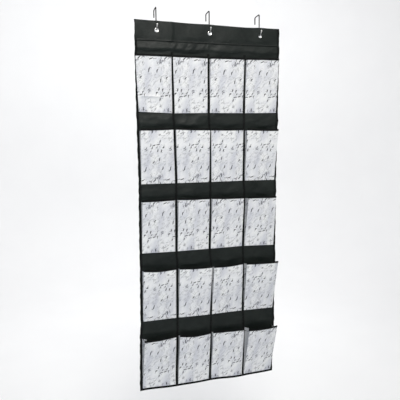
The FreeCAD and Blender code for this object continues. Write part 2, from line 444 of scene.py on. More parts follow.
def backing_material():
    """Black spun-bonded cloth with a faint green cast, a satin face and pressed diamonds."""
    m = Recipe("backing_cloth", Specular_IOR_Level=0.22, Sheen_Weight=0.03, Sheen_Roughness=0.5)
    vector, across, up = m.cloth()
    blotch = m.noise(vector, 14, detail=4, roughness=0.6)
    fibre = m.noise(vector, 900, detail=2)
    dark, light = (0.0038, 0.0064, 0.0056, 1), (0.0095, 0.0130, 0.0112, 1)
    tone = m.plus(m.times(blotch, 0.7), m.times(fibre, 0.3))
    colour = m.mix(m.ramp(tone, 0.35, 0.65), dark, light)
    roughness = m.ramp(m.noise(vector, 60), 0.3, 0.7, 0.42, 0.58)
    creases = m.bump(m.noise(vector, 38, detail=5, roughness=0.55, distortion=0.8), 1.6 * MM, 0.5)
    weave = m.bump(m.embossed(across, up, 2.4 * MM), 0.10 * MM, 0.6, under=creases)
    return m.surface(Base_Color=colour, Roughness=roughness, Normal=weave)


def tape_material():
    """Black ribbed binding tape, duller and darker than the sheet."""
    m = Recipe("binding_tape", Specular_IOR_Level=0.10, Sheen_Weight=0.01)
    vector, _, up = m.cloth()
    ribs = m.calc("SINE", m.times(up, 2 * pi / (0.9 * MM)))
    fibre = m.noise(vector, 700, detail=2)
    colour = m.mix(fibre, (0.0022, 0.0028, 0.0026, 1), (0.0055, 0.0066, 0.0060, 1))
    normal = m.bump(m.plus(m.times(ribs, 0.5), fibre), 0.12 * MM, 0.7)
    return m.surface(Base_Color=colour, Roughness=m.ramp(fibre, 0.3, 0.7, 0.6, 0.75), Normal=normal)


def strokes(m, across, up, count, climb, seed, presence, length, width, bend, angle, spread):
    """Brush strokes of a print, at most one in each cell of a grid with count cells to the print's repeat.

    The grid's rows rise by climb cells over one repeat, so the strokes run up a diagonal.
    """
    cell = PRINT_REPEAT / count
    raised = m.calc("MULTIPLY_ADD", across, -climb / count, up)
    column = m.calc("FLOOR", m.calc("DIVIDE", across, cell))
    row = m.calc("FLOOR", m.calc("DIVIDE", raised, cell))
    wrapped = m.calc("FLOORED_MODULO", column, float(count))
    turns = m.calc("FLOOR", m.calc("DIVIDE", column, float(count)))
    level = m.calc("MULTIPLY_ADD", turns, float(climb), row)
    draws = []
    for k in range(2):
        key = m.node("ShaderNodeCombineXYZ", {0: wrapped, 1: level, 2: seed + 7.3 * k}).outputs[0]
        white = m.node("ShaderNodeTexWhiteNoise", {0: key}, noise_dimensions="3D")
        draws += list(m.node("ShaderNodeSeparateColor", {0: white.outputs["Color"]}).outputs)
    place_x, place_y, turn, size, wave, present = draws
    play = cell - 1.3 * length

    def middle(index, place):
        """A stroke's middle across its cell or up it: the cell's own, moved within the play."""
        moved = m.calc("MULTIPLY_ADD", place, play, -play / 2)
        return m.calc("MULTIPLY_ADD", m.plus(index, 0.5), cell, moved)

    dx = m.minus(across, middle(column, place_x))
    dy = m.minus(raised, middle(row, place_y))
    dy = m.calc("MULTIPLY_ADD", dx, climb / count, dy)
    lean = m.calc("MULTIPLY_ADD", turn, spread, angle - spread / 2)
    cosine, sine = m.calc("COSINE", lean), m.calc("SINE", lean)
    along = m.plus(m.times(dx, cosine), m.times(dy, sine))
    beside = m.minus(m.times(dy, cosine), m.times(dx, sine))
    phase = m.calc("MULTIPLY_ADD", wave, pi, m.times(along, 0.9 * pi / length))
    curved = m.calc("MULTIPLY_ADD", m.calc("SINE", phase), -bend, beside)
    reach = m.calc("MULTIPLY_ADD", size, 0.5 * length, 0.5 * length)
    long_share = m.calc("POWER", m.calc("DIVIDE", along, reach), 2.0)
    wide_share = m.calc("POWER", m.calc("DIVIDE", curved, width), 2.0)
    ink = m.ramp(m.plus(long_share, wide_share), 0.35, 1.15, 1.0, 0.0)
    return m.times(ink, m.calc("LESS_THAN", present, presence))


def repeating(m, across, up):
    """A place for noise that comes round again after each repeat: across is wound round a cylinder."""
    angle = m.times(across, 2 * pi / PRINT_REPEAT)
    radius = PRINT_REPEAT / (2 * pi)
    x = m.times(m.calc("COSINE", angle), radius)
    y = m.times(m.calc("SINE", angle), radius)
    return m.node("ShaderNodeCombineXYZ", {0: x, 1: y, 2: up}).outputs[0]


def marble(m, slanted, wound, clouds):
    """The print's pale ground: soft clouds, upright hazes and slanting streaks of grey."""
    tall = m.node("ShaderNodeMapping", {"Vector": wound, "Scale": (1, 1, 0.35)}).outputs[0]
    haze = m.noise(tall, 17, detail=2)
    streaks = m.noise(slanted, 1.0, detail=3, roughness=0.6)
    grey = m.times(m.ramp(clouds, 0.40, 0.68), 0.30)
    grey = m.plus(grey, m.times(m.ramp(haze, 0.40, 0.64), 0.60))
    grey = m.plus(grey, m.times(m.ramp(streaks, 0.46, 0.74), 0.26))
    return m.mix(grey, (0.755, 0.757, 0.757, 1), (0.45, 0.46, 0.52, 1))


def busy_bands(m, up):
    """Where the small strokes crowd: a strong band a third of the way up, and weaker ones near both edges."""

    def band(height, core, reach):
        away = m.calc("ABSOLUTE", m.minus(up, height * MM))
        return m.ramp(away, core * MM, reach * MM, 1.0, 0.0)

    outer = m.times(m.calc("MAXIMUM", band(14, 6, 16), band(178, 8, 22)), 0.6)
    return m.calc("MAXIMUM", outer, band(66, 10, 26))


def flecks(m, slanted, wound):
    """How much ink the print's strokes, specks and thin veins lay down."""
    vector, across, up = m.cloth()
    shaken = m.calc("MULTIPLY_ADD", m.noise(vector, 420, detail=2), 1.4 * MM, across)

    def drawn(count, climb, seed, presence, length, width, bend, angle, spread):
        sizes = (length * MM, width * MM, bend * MM)
        return strokes(m, shaken, up, count, climb, seed, presence, *sizes, radians(angle), radians(spread))

    bold = drawn(3, 2, 1.7, 0.45, 12.0, 2.2, 2.0, 56, 40)
    medium = drawn(4, 3, 5.2, 0.62, 11.0, 1.9, 2.8, 48, 40)
    curls = drawn(5, 3, 8.6, 0.50, 9.5, 1.7, 3.0, 34, 60)
    fine = drawn(7, 4, 11.9, 0.45, 8.0, 1.4, 2.0, 44, 50)
    specks = strokes(m, shaken, up, 11, 6, 3.1, 0.18, 2.0 * MM, 1.4 * MM, 0.0, 0.0, 1.0)
    patchy = m.ramp(m.noise(wound, 30, detail=1), 0.38, 0.50)
    clusters = m.times(m.calc("MULTIPLY_ADD", busy_bands(m, up), 0.65, 0.35), patchy)
    winding = m.noise(slanted, 1.7, detail=2, roughness=0.5, distortion=0.6)
    veins = m.ramp(m.calc("ABSOLUTE", m.minus(winding, 0.5)), 0.006, 0.034, 1.0, 0.0)
    small = [m.times(layer, clusters) for layer in (medium, curls, fine)]
    ink = m.times(bold, 0.96)
    for layer in (*small, m.times(specks, 0.50), m.times(m.times(veins, patchy), 0.30)):
        ink = m.calc("MAXIMUM", ink, layer)
    return ink


def print_material(name, shade):
    """White cloth printed with a pale marble and dark strokes.

    The shade is painted into the colour and darkens the whole of it, from 0 for none to 1 for plain dark
    grey.
    """
    m = Recipe(name, Specular_IOR_Level=0.25, Sheen_Weight=0.1, Sheen_Roughness=0.4)
    vector, across, up = m.cloth()
    wound = repeating(m, across, up)
    slanted = m.node(
        "ShaderNodeMapping",
        {"Vector": vector, "Rotation": (0, 0, radians(48)), "Scale": (45 * MM, 11 * MM, 1)},
        vector_type="TEXTURE",
    ).outputs[0]
    clouds = m.noise(wound, 27, detail=4, roughness=0.55, distortion=0.35)
    ground = marble(m, slanted, wound, clouds)
    printed = m.mix(flecks(m, slanted, wound), ground, (0.018, 0.020, 0.026, 1))
    colour = m.mix(shade, printed, (0.10, 0.105, 0.115, 1))
    creases = m.bump(m.noise(vector, 45, detail=4, roughness=0.5), 0.7 * MM, 0.35)
    weave = m.bump(m.embossed(across, up, 1.9 * MM), 0.08 * MM, 0.5, under=creases)
    return m.surface(Base_Color=colour, Roughness=m.ramp(clouds, 0.3, 0.7, 0.50, 0.62), Normal=weave)


def reverse_material():
    """The unprinted back of the pocket cloth."""
    m = Recipe("pocket_reverse", Specular_IOR_Level=0.2, Sheen_Weight=0.08)
    vector, across, up = m.cloth()
    fibre = m.noise(vector, 500, detail=3)
    colour = m.mix(fibre, (0.66, 0.66, 0.66, 1), (0.78, 0.78, 0.775, 1))
    weave = m.bump(m.embossed(across, up, 1.9 * MM), 0.08 * MM, 0.6)
    return m.surface(Base_Color=colour, Roughness=m.ramp(fibre, 0.3, 0.7, 0.7, 0.82), Normal=weave)


def thread_material(name, dark, light):
    """Twisted sewing thread."""
    m = Recipe(name, Specular_IOR_Level=0.3)
    ply = m.noise(m.place(), 2600, detail=2)
    return m.surface(Base_Color=m.mix(ply, dark, light), Roughness=m.ramp(ply, 0.3, 0.7, 0.5, 0.7))


def eyelet_material():
    """Bright nickel with faint stamping marks."""
    m = Recipe("eyelet_metal", Metallic=1.0)
    marks = m.noise(m.place(), 700, detail=4, roughness=0.6)
    colour = m.mix(marks, (0.70, 0.70, 0.69, 1), (0.86, 0.86, 0.85, 1))
    roughness = m.ramp(marks, 0.3, 0.75, 0.16, 0.32)
    return m.surface(Base_Color=colour, Roughness=roughness, Normal=m.bump(marks, 0.05 * MM, 0.25))


def wire_material():
    """Drawn steel wire, painted near black over its length as a painted dark reflection of the room, with its
    prong painted greyer and its round end painted bright as painted highlights, and faint random wear.
    """
    m = Recipe("hook_wire", Specular_IOR_Level=0.06)
    place = m.place()
    depth = m.node("ShaderNodeSeparateXYZ", {0: place}).outputs[1]
    drawn = m.node("ShaderNodeMapping", {"Vector": place, "Scale": (900, 900, 60)}).outputs[0]
    lines = m.noise(drawn, 1.0, detail=3)
    # by place, not by wear: the prong is painted greyer and the round end painted bright as painted
    # highlights, and both are made metallic
    prong = m.ramp(depth, SHEET_Y - 3 * MM, SHEET_Y - 6 * MM)
    end = m.ramp(depth, SHEET_Y - 12.5 * MM, SHEET_Y - 14.5 * MM)
    wear_and_painted_glint = m.times(m.ramp(m.noise(place, 160, detail=3), 0.60, 0.80), 0.03)
    wear_and_painted_glint = m.plus(wear_and_painted_glint, m.calc("MULTIPLY_ADD", end, 0.55, m.times(prong, 0.42)))
    # the rest of the wire is painted near black as a painted dark reflection; only the faint noise above is
    # real wear
    painted_dark_reflection = m.mix(lines, (0.008, 0.007, 0.007, 1), (0.022, 0.020, 0.019, 1))
    return m.surface(
        Base_Color=m.mix(wear_and_painted_glint, painted_dark_reflection, (0.88, 0.87, 0.85, 1)),
        Metallic=m.ramp(wear_and_painted_glint, 0.05, 0.4),
        Roughness=m.ramp(lines, 0.3, 0.7, 0.30, 0.46),
        Normal=m.bump(lines, 0.03 * MM, 0.3),
    )


BACKING = backing_material()
TAPE = tape_material()
PRINT = print_material("pocket_print", 0.0)
# the pleats' print is darkened by 0.55 as painted shade, for folds that light hardly reaches
PLEAT_PRINT_PAINTED_SHADE = print_material("pleat_print_painted_shade", 0.55)
REVERSE = reverse_material()
BLACK_THREAD = thread_material("black_thread", (0.012, 0.012, 0.012, 1), (0.035, 0.035, 0.034, 1))
WHITE_THREAD = thread_material("white_thread", (0.62, 0.62, 0.61, 1), (0.80, 0.80, 0.79, 1))
EYELET = eyelet_material()
WIRE = wire_material()


# ---- the backing sheet ----


def unevenness(x, z, seed, stretch=(11.0, 26.0), slant=-14.0):
    """Soft noise in the panel's plane, drawn out along a rising diagonal."""
    pairs = zip(x.ravel(), z.ravel())
    places = [Vector((a * stretch[0] + b * 9, b * stretch[1] + a * slant, seed)) for a, b in pairs]
    return np.array([noise.noise(place) for place in places]).reshape(x.shape)


def relief(x, z):
    """Bellies and wrinkles of the bare cloth between the rows. Out is positive."""
    x, z = np.broadcast_arrays(np.asarray(x, float), np.asarray(z, float))
    x = np.clip(x, EDGE_W - HALF_W, HALF_W - EDGE_W)
    total = np.zeros(x.shape)
    soft = unevenness(x, z, 3.1)
    ridge = (1 - np.abs(unevenness(x, z, 8.7, (17.0, 30.0), -20.0))) ** 6
    sway = unevenness(x, z * 0, 5.5, (9.0, 0.0), 0.0)
    mid_column = (1 - np.cos(x * 2 * pi / (DIVIDER_X[1] - DIVIDER_X[0]))) / 2
    for row in range(1, ROWS + 1):
        top = HEM_Z if row == 1 else FLOOR_Z[row - 1]
        share = np.clip((top - z) / (top - MOUTH_Z[row]), 0, 1)
        brink = (0.50 if row == 1 else 0.68) + 0.10 * mid_column + 0.10 * sway
        depth = (3.8 if row == 1 else 2.6) + 1.2 * mid_column + 2.4 * sway
        belly = smooth(0.0, brink, share) * smooth(brink + 0.22, brink - 0.03, share)
        inside = smooth(0, 0.15, share) * smooth(1, 0.8, share)
        total += belly * depth + inside * (1.8 * soft + 1.3 * ridge)
    # just under the hem the cloth is pushed into slanting wrinkles over the second column
    share = (HEM_Z - z) / (HEM_Z - MOUTH_Z[1])
    strip = smooth(0.02, 0.2, share) * smooth(0.65, 0.5, share)
    over = smooth(-0.14, -0.12, x) * smooth(-0.02, -0.06, x)
    slant = np.sin((x - z * 0.8) * 2 * pi / 0.036)
    total += strip * over * (1.5 * slant + 1.2)
    return total * MM


def header_swell(x, z):
    """The doubled header bows out a little between the eyelets."""
    lobes = np.cos(x * 2 * pi / (EYELET_X[2] - EYELET_X[1]))
    held = smooth(HEM_Z - 0.02, HEM_Z + 0.03, z)
    return (0.9 - 0.9 * lobes) * held * MM


def punched(x, z):
    """Which grid cells are left, away from the eyelets' holes."""
    cell_x = (x[:-1, :-1] + x[1:, 1:]) / 2
    cell_z = (z[:-1, :-1] + z[1:, 1:]) / 2
    left = np.ones(cell_x.shape, bool)
    for eyelet_x in EYELET_X:
        left &= np.hypot(cell_x - eyelet_x, cell_z - EYELET_Z) > CUT_R
    return left


def round_holes(x, z):
    """Grid points near an eyelet's hole are drawn onto its circle."""
    for eyelet_x in EYELET_X:
        dx, dz = x - eyelet_x, z - EYELET_Z
        away = np.hypot(dx, dz) + 1e-9
        near = away < HOLE_R + 0.5 * GRID
        x = np.where(near, eyelet_x + dx / away * HOLE_R, x)
        z = np.where(near, EYELET_Z + dz / away * HOLE_R, z)
    return x, z


def grid_lines(low, high, step):
    """Evenly spaced places from low to high, about a step apart."""
    return np.linspace(low, high, max(2, int(round((high - low) / step)) + 1))


def stretch_of(row):
    """The heights between which a stretch of the panel runs: from the row above's bottom seam to its own."""
    high = HEADER_TOP_Z if row == 1 else FLOOR_Z[row - 1]
    low = BOTTOM_Z + 1 * MM if row == ROWS else FLOOR_Z[row]
    return low, high


def bend(piece, row):
    """Bakes the piece's place into its mesh and gives it back."""
    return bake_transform(piece)


def make_backing(row):
    """One stretch of the backing sheet, and its flat size. The first has the header's holes."""
    low, high = stretch_of(row)
    across = grid_lines(-CLOTH_HALF_W, CLOTH_HALF_W, GRID)
    z, x = np.meshgrid(grid_lines(low, high, GRID), across, indexing="ij")
    keep = None
    if row == 1:
        keep = punched(x, z)
        x, z = round_holes(x, z)
    out = relief(x, z)
    if row == 1:
        out = out * smooth(HEM_Z + 0.004, HEM_Z, z) + header_swell(x, z)
    points, faces, picks, flat = part(hung(x, out, z), SHEET_T, np.stack([x, z], axis=-1), keep)
    piece = finished(f"backing_{row}", points, faces, [BACKING], picks, flat)
    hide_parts(*(["header_backing", "backing_row_1"] if row == 1 else [f"backing_row_{row}"]))
    bend(piece, row)
    return piece, (2 * HALF_W, high - low)


def hem_waves(x, z):
    """Soft unevenness of the doubled cloth, and the packing crease, in mm."""
    level = smooth(HEM_Z, HEM_Z + 0.02, z)
    wave = 0.9 * np.sin(x * 29 + z * 31) + 0.7 * np.sin(x * 53 - z * 27 + 1.3)
    crease = 2.4 * smooth(-0.022, 0.0, x - DIVIDER_X[0]) * smooth(0.012, 0.0, x - DIVIDER_X[0])
    wrinkle = 1.1 * np.exp(-(((x + z * 0.6) - 0.085) / 0.006) ** 2) * smooth(HEM_Z + 0.01, HEM_Z + 0.025, z)
    return level * (wave + wrinkle + 0.9) + crease


def hem_out(x, z):
    """Where the hem's middle lies, just in front of the backing.

    It is pressed in along its seam, and its lower edge curls out a little.
    """
    pucker = 0.3 * np.sin(x * 2 * pi / 0.017 + 2 * np.sin(x * 40)) * np.exp(-((z - HEM_Z) / 0.010) ** 2)
    curl = 1.9 * smooth(HEM_Z + 4 * MM, HEM_Z, z)
    pressed = -0.1 * np.exp(-((z - HEM_Z - 3.5 * MM) / (2 * MM)) ** 2)
    uneven = 0.25 + pucker + curl + pressed + hem_waves(x, z)
    return (SHEET_T + HEM_T) / 2 + header_swell(x, z) + uneven * MM


def hem_turn(top_x, top_z):
    """The hem's way over the sheet's top edge and down behind it: its middle and its flat coordinates."""
    front_out = hem_out(top_x, top_z)
    rear_out = header_swell(top_x, top_z) - 1.0 * MM
    middle_out = (front_out + rear_out) / 2
    arm = (front_out - rear_out) / 2
    lines, lengths = [], []
    for share in (0.2, 0.4, 0.6, 0.8, 1.0):
        out = middle_out + arm * cos(pi * share)
        lines.append(hung(top_x, out, top_z + HEM_BEND_R * sin(pi * share)))
        lengths.append(HEM_OVER * share)
    for share in (1 / 3, 2 / 3, 1):
        lines.append(hung(top_x, rear_out, top_z - HEM_BEHIND * share))
        lengths.append(HEM_OVER + HEM_BEHIND * share)
    up = np.array(lengths)[:, None] + top_z
    return np.array(lines), np.stack([np.broadcast_to(top_x, up.shape), up], axis=-1)


def make_hem():
    """The top of the sheet, turned over the front and sewn down."""
    across = grid_lines(-CLOTH_HALF_W, CLOTH_HALF_W, GRID)
    z, x = np.meshgrid(grid_lines(HEM_Z, HEADER_TOP_Z - HEM_BEND_R, 3 * MM), across, indexing="ij")
    keep = punched(x, z)
    x, z = round_holes(x, z)
    turned, turned_cloth = hem_turn(x[-1], z[-1])
    middle = np.concatenate([hung(x, hem_out(x, z), z), turned])
    cloth = np.concatenate([np.stack([x, z], axis=-1), turned_cloth])
    kept = np.ones((middle.shape[0] - 1, middle.shape[1] - 1), bool)
    kept[: keep.shape[0]] = keep
    sewn_x = grid_lines(-CLOTH_HALF_W, CLOTH_HALF_W, 6 * MM)
    sewn_z = HEM_Z + 3 * MM
    sewn = stitches(hung(sewn_x, hem_out(sewn_x, sewn_z) + HEM_T / 2, sewn_z), FORWARD, 1)
    points, faces, picks, flat = joined(part(middle, HEM_T, cloth, kept), sewn)
    piece = finished("top_hem", points, faces, [BACKING, BLACK_THREAD], picks, flat)
    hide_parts("header_hem")
    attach(piece, "header")
    return piece


# ---- tapes ----


def tape_piece(name, *parts):
    """A tape and its stitches as one piece."""
    points, faces, picks, flat = joined(*parts)
    piece = finished(name, points, faces, [TAPE, BLACK_THREAD], picks, flat)
    return piece


def strip_z(row):
    """The heights of an upright tape's points, from its stretch's lower end up."""
    low, high = stretch_of(row)
    if row == ROWS:
        low = BOTTOM_Z + 2 * MM
    return grid_lines(low, high, GRID)


def folded_outline(width, first_out, last_out):
    """A tape's section folded round an edge, as points (distance inward from its fold, distance out)."""
    half = (first_out - last_out) / 2
    centre = (first_out + last_out) / 2
    radius = abs(half)
    arms = [width - share * (width - radius) for share in (0, 0.12, 0.5, 1.0)]
    points = [(inward, first_out) for inward in arms]
    points += [(radius * (1 - sin(pi * t)), centre + half * cos(pi * t)) for t in (0.25, 0.5, 0.75)]
    points += [(inward, last_out) for inward in reversed(arms)]
    return points


def folded_tape(z, edge_x, width, side, front_out, rear_out):
    """A tape folded round an upright edge: its front, its turn and its back, with its front facing -Y."""
    outline = folded_outline(width, front_out, rear_out)
    x = np.stack([edge_x - side * inward for inward, _ in outline], axis=1)
    out = np.stack([distance for _, distance in outline], axis=1)
    if side < 0:
        x, out = x[:, ::-1], out[:, ::-1]
    return part(hung(x, out, z[:, None]), TAPE_T, flat_grid(run_lengths(x[0], out[0]), z))


def make_edge_binding(row, side, name):
    """The binding folded round one side edge of a row, and of the doubled header above the first row."""
    z = strip_z(row)
    header = smooth(HEM_Z - 2 * MM, HEM_Z + 2 * MM, z) if row == 1 else np.zeros(z.shape)
    swell = header_swell(np.full(z.shape, side * HALF_W), z)
    swell = swell + relief(side * HALF_W, z) * smooth(HEM_Z + 0.004, HEM_Z, z)
    front_out = SHEET_T / 2 + TAPE_T / 2 + header * (HEM_T + 0.1 * MM) + swell
    rear_out = -SHEET_T / 2 - TAPE_T / 2 - header * 0.9 * MM + swell
    ripple = 0.5 * np.sin(z * 95 + side) * MM + 0.35 * np.sin(z * 210 + 2 * side) * MM
    edge = side * (HALF_W + 0.4 * MM) + side * ripple
    tape = folded_tape(z, edge, EDGE_W + ripple, side, front_out, rear_out)
    inner = edge - side * (EDGE_W - 2 * MM)
    front = stitches(hung(inner, front_out + TAPE_T / 2, z), FORWARD, 1)
    rear = stitches(hung(inner, rear_out - TAPE_T / 2, z), BACKWARD, 1)
    return bend(tape_piece(f"{name}_edge_binding_{row}", tape, front, rear), row)


def make_divider(row, number):
    """A flat tape sewn down over the pockets' side seams, with a line of stitches near each edge."""
    z = strip_z(row)
    if row == 1:
        z = z[z < MOUTH_Z[1] + 12 * MM]
    middle_x = DIVIDER_X[number - 1] + 0.5 * np.sin(z * 40 + number) * MM
    shares = np.array([-1.0, -0.94, -0.5, 0.0, 0.5, 0.94, 1.0])
    x = middle_x[:, None] + shares[None, :] * DIVIDER_W / 2
    over_pocket = np.zeros(z.shape)
    for r in range(1, ROWS + 1):
        above_floor = smooth(FLOOR_Z[r] - 3 * MM, FLOOR_Z[r] + 2 * MM, z)
        below_mouth = smooth(MOUTH_Z[r] + 3 * MM, MOUTH_Z[r] - 2 * MM, z)
        over_pocket = np.maximum(over_pocket, above_floor * below_mouth)
    lie = SHEET_T / 2 + TAPE_T / 2 + over_pocket * 0.45 * MM
    up = np.broadcast_to(z[:, None], x.shape)
    parts = [part(hung(x, relief(x, up) + lie[:, None], up), TAPE_T, np.stack([x, up], axis=-1))]
    for share in (-0.62, 0.62):
        line_x = middle_x + share * DIVIDER_W / 2
        front_out = relief(line_x, z) + lie + TAPE_T / 2
        parts.append(stitches(hung(line_x, front_out, z), FORWARD, 1))
        parts.append(stitches(hung(line_x, relief(line_x, z) - SHEET_T / 2, z), BACKWARD, 1))
    return bend(tape_piece(f"divider_tape_{number}_{row}", *parts), row)


def make_bottom_binding():
    """The tape folded up round the bottom edge."""
    x = grid_lines(-HALF_W - 0.3 * MM, HALF_W + 0.3 * MM, GRID)
    front_out = SHEET_T / 2 + TAPE_T * 1.6
    top = BOTTOM_Z + BOTTOM_BINDING_H
    foot = BOTTOM_Z - 1.5 * MM
    outline = np.array(folded_outline(top - foot, -front_out, front_out))
    middle = np.array([hung(x, out, foot + inward) for inward, out in outline])
    cloth = flat_grid(x, run_lengths(*outline.T))[..., ::-1]
    front = stitches(hung(x, front_out + TAPE_T / 2, top - 2 * MM), FORWARD, 1)
    rear = stitches(hung(x, -front_out - TAPE_T / 2, top - 2 * MM), BACKWARD, 1)
    piece = tape_piece("bottom_binding_tape", part(middle, TAPE_T, cloth), front, rear)
    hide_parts("bottom_binding")
    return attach(piece, "row_5")


# ---- pockets ----


def rounded(corners, radius, counts):
    """A path through corners, each an array of points by height, with its corners rounded off.

    Returns points (heights, columns, 3) and each column's place: 2.5 is midway from corner 2 to corner 3.
    """
    points, places = [], []
    last = len(corners) - 1
    for k in range(last):
        a, b = corners[k], corners[k + 1]
        step = b - a
        length = np.linalg.norm(step, axis=-1, keepdims=True)
        cut = np.minimum(radius / length, 0.4)
        low = 0 if k == 0 else cut
        high = 1 if k == last - 1 else 1 - cut
        for share in np.linspace(0, 1, counts[k]):
            at = low + (high - low) * share
            points.append(a + step * at)
            places.append(k + float(np.mean(at)))
        if k < last - 1:
            c = corners[k + 2]
            onward = c - b
            cut_on = np.minimum(radius / np.linalg.norm(onward, axis=-1, keepdims=True), 0.4)
            start, end = b - step * cut, b + onward * cut_on
            for t in (0.3, 0.5, 0.7):
                points.append((1 - t) ** 2 * start + 2 * t * (1 - t) * b + t * t * end)
                side = (t - 0.5) * 2
                places.append(k + 1 + side * float(np.mean(cut if side < 0 else cut_on)) * 0.6)
    return np.stack(points, axis=1), np.array(places)


def creased(row, column, share, tall):
    """A crease pressed across the lower left of a pocket's front: a sharp ridge with a hollow below it."""
    level, rise, depth = CREASES.get((row, column), (0.3, 0.0, 0.0))
    below = tall - (level + rise * share + 0.02 * np.sin(pi * share))
    ridge = np.exp(-((below / 0.018) ** 2))
    hollow = smooth(0.0, -0.05, below) * smooth(-0.25, -0.12, below)
    across = smooth(0, 0.12, share) * smooth(1.0, 0.55, share)
    return depth * (ridge - 0.75 * hollow) * across


def gaping(table, row, column, t):
    """How far one of a pocket's front edges stands out, at shares t of its height."""
    return POCKET_TOE + (table[row - 1][column - 1] * MM - POCKET_TOE) * t


def pocket_corners(row, column, t, gape_l, gape_r):
    """The pocket's six corners by height: left seam, left fold, both front edges, right fold, right seam."""
    seams = [-HALF_W + EDGE_W - 0.4 * MM, *DIVIDER_X, HALF_W - EDGE_W + 0.4 * MM]
    left = seams[column - 1] + (DIVIDER_W / 2 if column > 1 else 0)
    right = seams[column] - (DIVIDER_W / 2 if column < COLUMNS else 0)
    rise = t ** 0.85
    shift_l = SHIFT_LEFT[row - 1][column - 1] * MM * rise
    shift_r = SHIFT_RIGHT[row - 1][column - 1] * MM * rise
    tuck_l = np.sqrt(np.maximum(PLEAT ** 2 - (gape_l / 2) ** 2, 1e-6))
    tuck_r = np.sqrt(np.maximum(PLEAT ** 2 - (gape_r / 2) ** 2, 1e-6))
    dip_l = 0 if (row, column) in OPEN_LEFT_GUSSETS else GUSSET_DIP
    foot = SHEET_T / 2 + 0.1 * MM
    z = FLOOR_Z[row] + t * POCKET_H

    def corner(x, out, dip=0.0):
        return np.stack([np.broadcast_to(x, t.shape), np.broadcast_to(out, t.shape), z - dip * t], axis=-1)

    return [
        corner(left - 0.8 * MM, foot, dip_l),
        corner(left + shift_l / 2 + tuck_l, foot + gape_l * 0.46, dip_l),
        corner(left + 0.2 * MM + shift_l, foot + gape_l),
        corner(right - 0.2 * MM + shift_r, foot + gape_r),
        corner(right + shift_r / 2 - tuck_r, foot + gape_r * 0.46, GUSSET_DIP),
        corner(right + 0.8 * MM, foot, GUSSET_DIP),
    ]


def front_relief(row, column, share, t):
    """How far a pocket's front bulges, in mm, at shares of its width and shares t of its height."""
    seed = 3.7 * row + 11.3 * column
    tall = t[:, None]
    arch = np.sin(pi * share) ** 0.7
    swell = arch * (3.4 * np.sin(pi * np.clip(tall, 0, 1) ** 0.8) + 0.8 * tall)
    lumps = np.array([[noise.noise(Vector((s * 3.1 + seed, h * 4.2, seed))) for s in share] for h in t])
    lumps = lumps * arch * 1.6 * smooth(0, 0.12, tall)
    flutes = 0.45 * np.sin(share * 2 * pi * 3.2 + seed) * arch * smooth(0.1, 0.9, tall)
    return swell + lumps + flutes + creased(row, column, share, tall)


def pocket_surface(row, column, t):
    """The pocket cloth's middle at shares t of its height, in flat measures, and its columns' places."""
    gape_l = gaping(GAPE_LEFT, row, column, t)
    gape_r = gaping(GAPE_RIGHT, row, column, t)
    counts = [PLEAT_COUNT, PLEAT_COUNT, FRONT_COUNT, PLEAT_COUNT, PLEAT_COUNT]
    points, places = rounded(pocket_corners(row, column, t, gape_l, gape_r), FOLD_R, counts)
    share = np.clip(places - 2, 0, 1)
    front = (share > 0.001) & (share < 0.999)  # the columns between the front's two edges
    points[..., 1] += np.where(front, front_relief(row, column, share, t) * MM, 0)
    sag = np.where(front, SAG[row - 1][column - 1] * MM * np.sin(pi * share) ** 1.2, 0)
    tilt = (gape_l[:, None] * (1 - share) + gape_r[:, None] * share) ** 2 / (2 * POCKET_H)
    points[..., 2] -= sag * np.clip(t[:, None], 0, 1.2) ** 3 + tilt
    return points, places


def flat_across(row, column, places):
    """Where each column of the pocket cloth lies in the printed strip."""
    flat = np.cumsum([0, PLEAT, PLEAT, FRONT_W, PLEAT, PLEAT])
    return PRINT_START[row - 1][column - 1] + np.interp(places, range(len(flat)), flat)


def front_line(row, column, heights, margin, lift):
    """A line across the front at the middle one of three heights, clear of its edges and off its cloth."""
    points, places = pocket_surface(row, column, np.array(heights))  # a column's place is a mean over them
    line = points[1][(places > 2 + margin) & (places < 3 - margin)]
    return hung(line[:, 0], line[:, 1] + lift, line[:, 2])


def open_bend(piece):
    """Bakes the pocket piece's place into its mesh and gives it back."""
    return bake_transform(piece)


def make_pocket(row, column):
    """One pocket's cloth from seam to seam, printed outside and plain inside, and sewn along its bottom."""
    t = np.concatenate([[0, 0.012, 0.03], np.linspace(0.06, 1, 40)])
    points, places = pocket_surface(row, column, t)
    cloth = flat_grid(flat_across(row, column, places), t * POCKET_H)
    if row % 2 == 0:
        cloth = np.array([0, POCKET_H]) - cloth  # these rows' print is upside down
    vertices, faces, sides, flat = slab(hung(*np.moveaxis(points, -1, 0)), POCKET_T, cloth)
    cloths = [PRINT, REVERSE, WHITE_THREAD, PLEAT_PRINT_PAINTED_SHADE]  # a pick is a place in this list
    picks = (np.array(sides) == 1).astype(int)
    pleated = np.abs((places[:-1] + places[1:]) / 2 - 2.5) > 0.52
    outer = np.tile(pleated, len(t) - 1)
    # the pleats' outer faces take the print with painted shade
    picks[: outer.size][outer] = 3
    sewn = stitches(front_line(row, column, (0.0, 0.018, 0.04), 0.02, POCKET_T / 2), FORWARD, 2)
    vertices, faces, picks, flat = joined((vertices, faces, picks.tolist(), flat), sewn)
    piece = finished(f"pocket_cloth_{row}_{column}", vertices, faces, cloths, picks, flat)
    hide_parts(f"pocket_{row}_{column}")
    return open_bend(piece)


